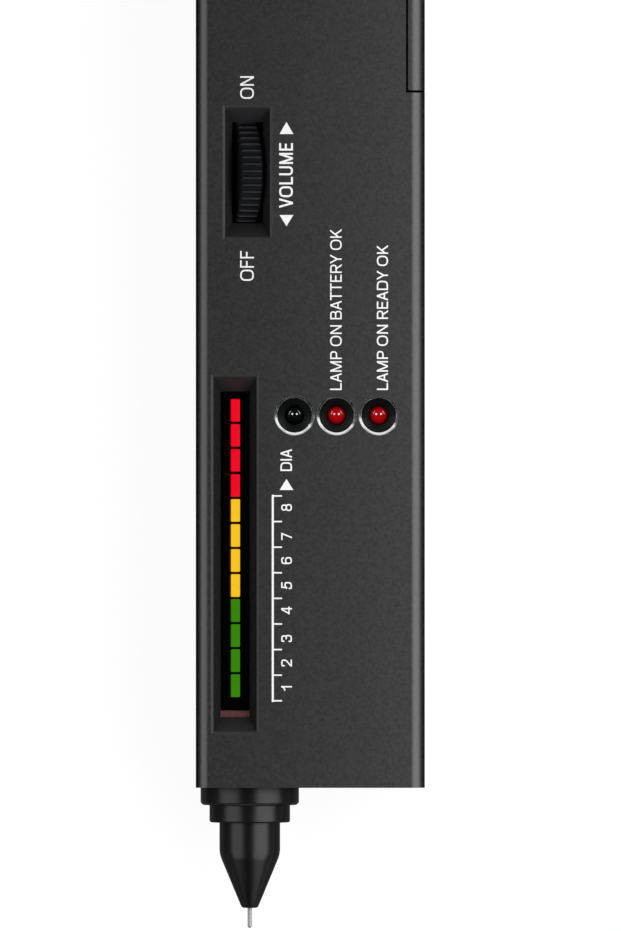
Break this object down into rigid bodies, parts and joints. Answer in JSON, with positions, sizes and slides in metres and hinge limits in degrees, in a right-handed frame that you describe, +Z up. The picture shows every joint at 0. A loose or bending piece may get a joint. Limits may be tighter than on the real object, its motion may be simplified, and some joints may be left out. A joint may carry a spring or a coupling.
{
  "type": "diamond tester",
  "caption": "Bar-shaped hand-held gem tester with a sprung needle probe, a column of light bars, status lamps, a ribbed volume wheel and a sliding battery cover.",
  "frame": {"origin": "on the surface the tester lies on, under the middle of its outline with the needle included", "axes": "+X to the right across the face, +Y along the casing from the probe to the battery end, +Z up out of the face"},
  "size_m": [0.033, 0.1774, 0.0223],
  "materials": {
    "case_black": "matte",
    "mask_black": "matte",
    "phenolic_brown": "satin",
    "bar_green": "satin",
    "bar_amber": "satin",
    "bar_red": "satin",
    "bezel_black": "gloss",
    "lamp_dark": "gloss",
    "lamp_red": "gloss",
    "tinned_wire": "satin",
    "screw_steel": "satin",
    "chip_black": "matte",
    "sleeve_blue": "gloss",
    "resistor_tan": "satin",
    "pot_can": "satin",
    "wheel_black": "satin",
    "battery_jacket": "satin",
    "stud_plate": "polished",
    "snap_black": "satin",
    "lead_red": "satin",
    "lead_black": "satin",
    "probe_black": "satin",
    "needle_steel": "polished",
    "holder_brass": "satin",
    "heater_white": "matte",
    "spring_steel": "satin",
    "plug_nylon": "satin"
  },
  "bodies": {
    "casing": {"front_shell": "case_black", "rear_shell": "case_black", "case_screws": "screw_steel", "level_frame": "mask_black", "bar_plate": "phenolic_brown", "green_bars": "bar_green", "amber_bars": "bar_amber", "red_bars": "bar_red", "lamp_bezels": "bezel_black", "marker_lamp": "lamp_dark", "battery_lamp": "lamp_red", "ready_lamp": "lamp_red", "lamp_legs": "tinned_wire", "main_board": "phenolic_brown", "board_screws": "screw_steel", "driver_chip": "chip_black", "amplifier_chip": "chip_black", "capacitors": "sleeve_blue", "resistors": "resistor_tan", "trimmer": "sleeve_blue", "buzzer": "chip_black", "pot_body": "pot_can", "pot_tags": "tinned_wire", "battery": "battery_jacket", "battery_studs": "stud_plate", "battery_snap": "snap_black", "red_lead": "lead_red", "black_lead": "lead_black", "probe_collar": "probe_black", "lock_ring": "probe_black", "nose_cone": "probe_black", "needle_spring": "spring_steel", "tail_plug": "plug_nylon", "sensor_leads": "tinned_wire"},
    "wheel": {"volume_wheel": "wheel_black", "wheel_shaft": "pot_can"},
    "probe_tip": {"probe_needle": "needle_steel", "needle_holder": "holder_brass", "needle_heater": "heater_white"},
    "cover": {"battery_cover": "case_black"}
  },
  "joints": [
    {"name": "needle_press", "type": "slide", "parent": "casing", "child": "probe_tip", "axis": [0, 1, 0], "range_m": [0, 0.001], "stiffness_N_per_m": 600, "springref_m": -0.001, "deforming": ["needle_spring"]},
    {"name": "wheel_turn", "type": "hinge", "parent": "casing", "child": "wheel", "pos_m": [-0.01068, 0.02033, 0.01309], "axis": [0.9659, 0, -0.2588], "range_deg": [-140, 140]},
    {"name": "cover_slide", "type": "slide", "parent": "casing", "child": "cover", "axis": [0, 1, 0], "range_m": [0, 0.057]}
  ]
}
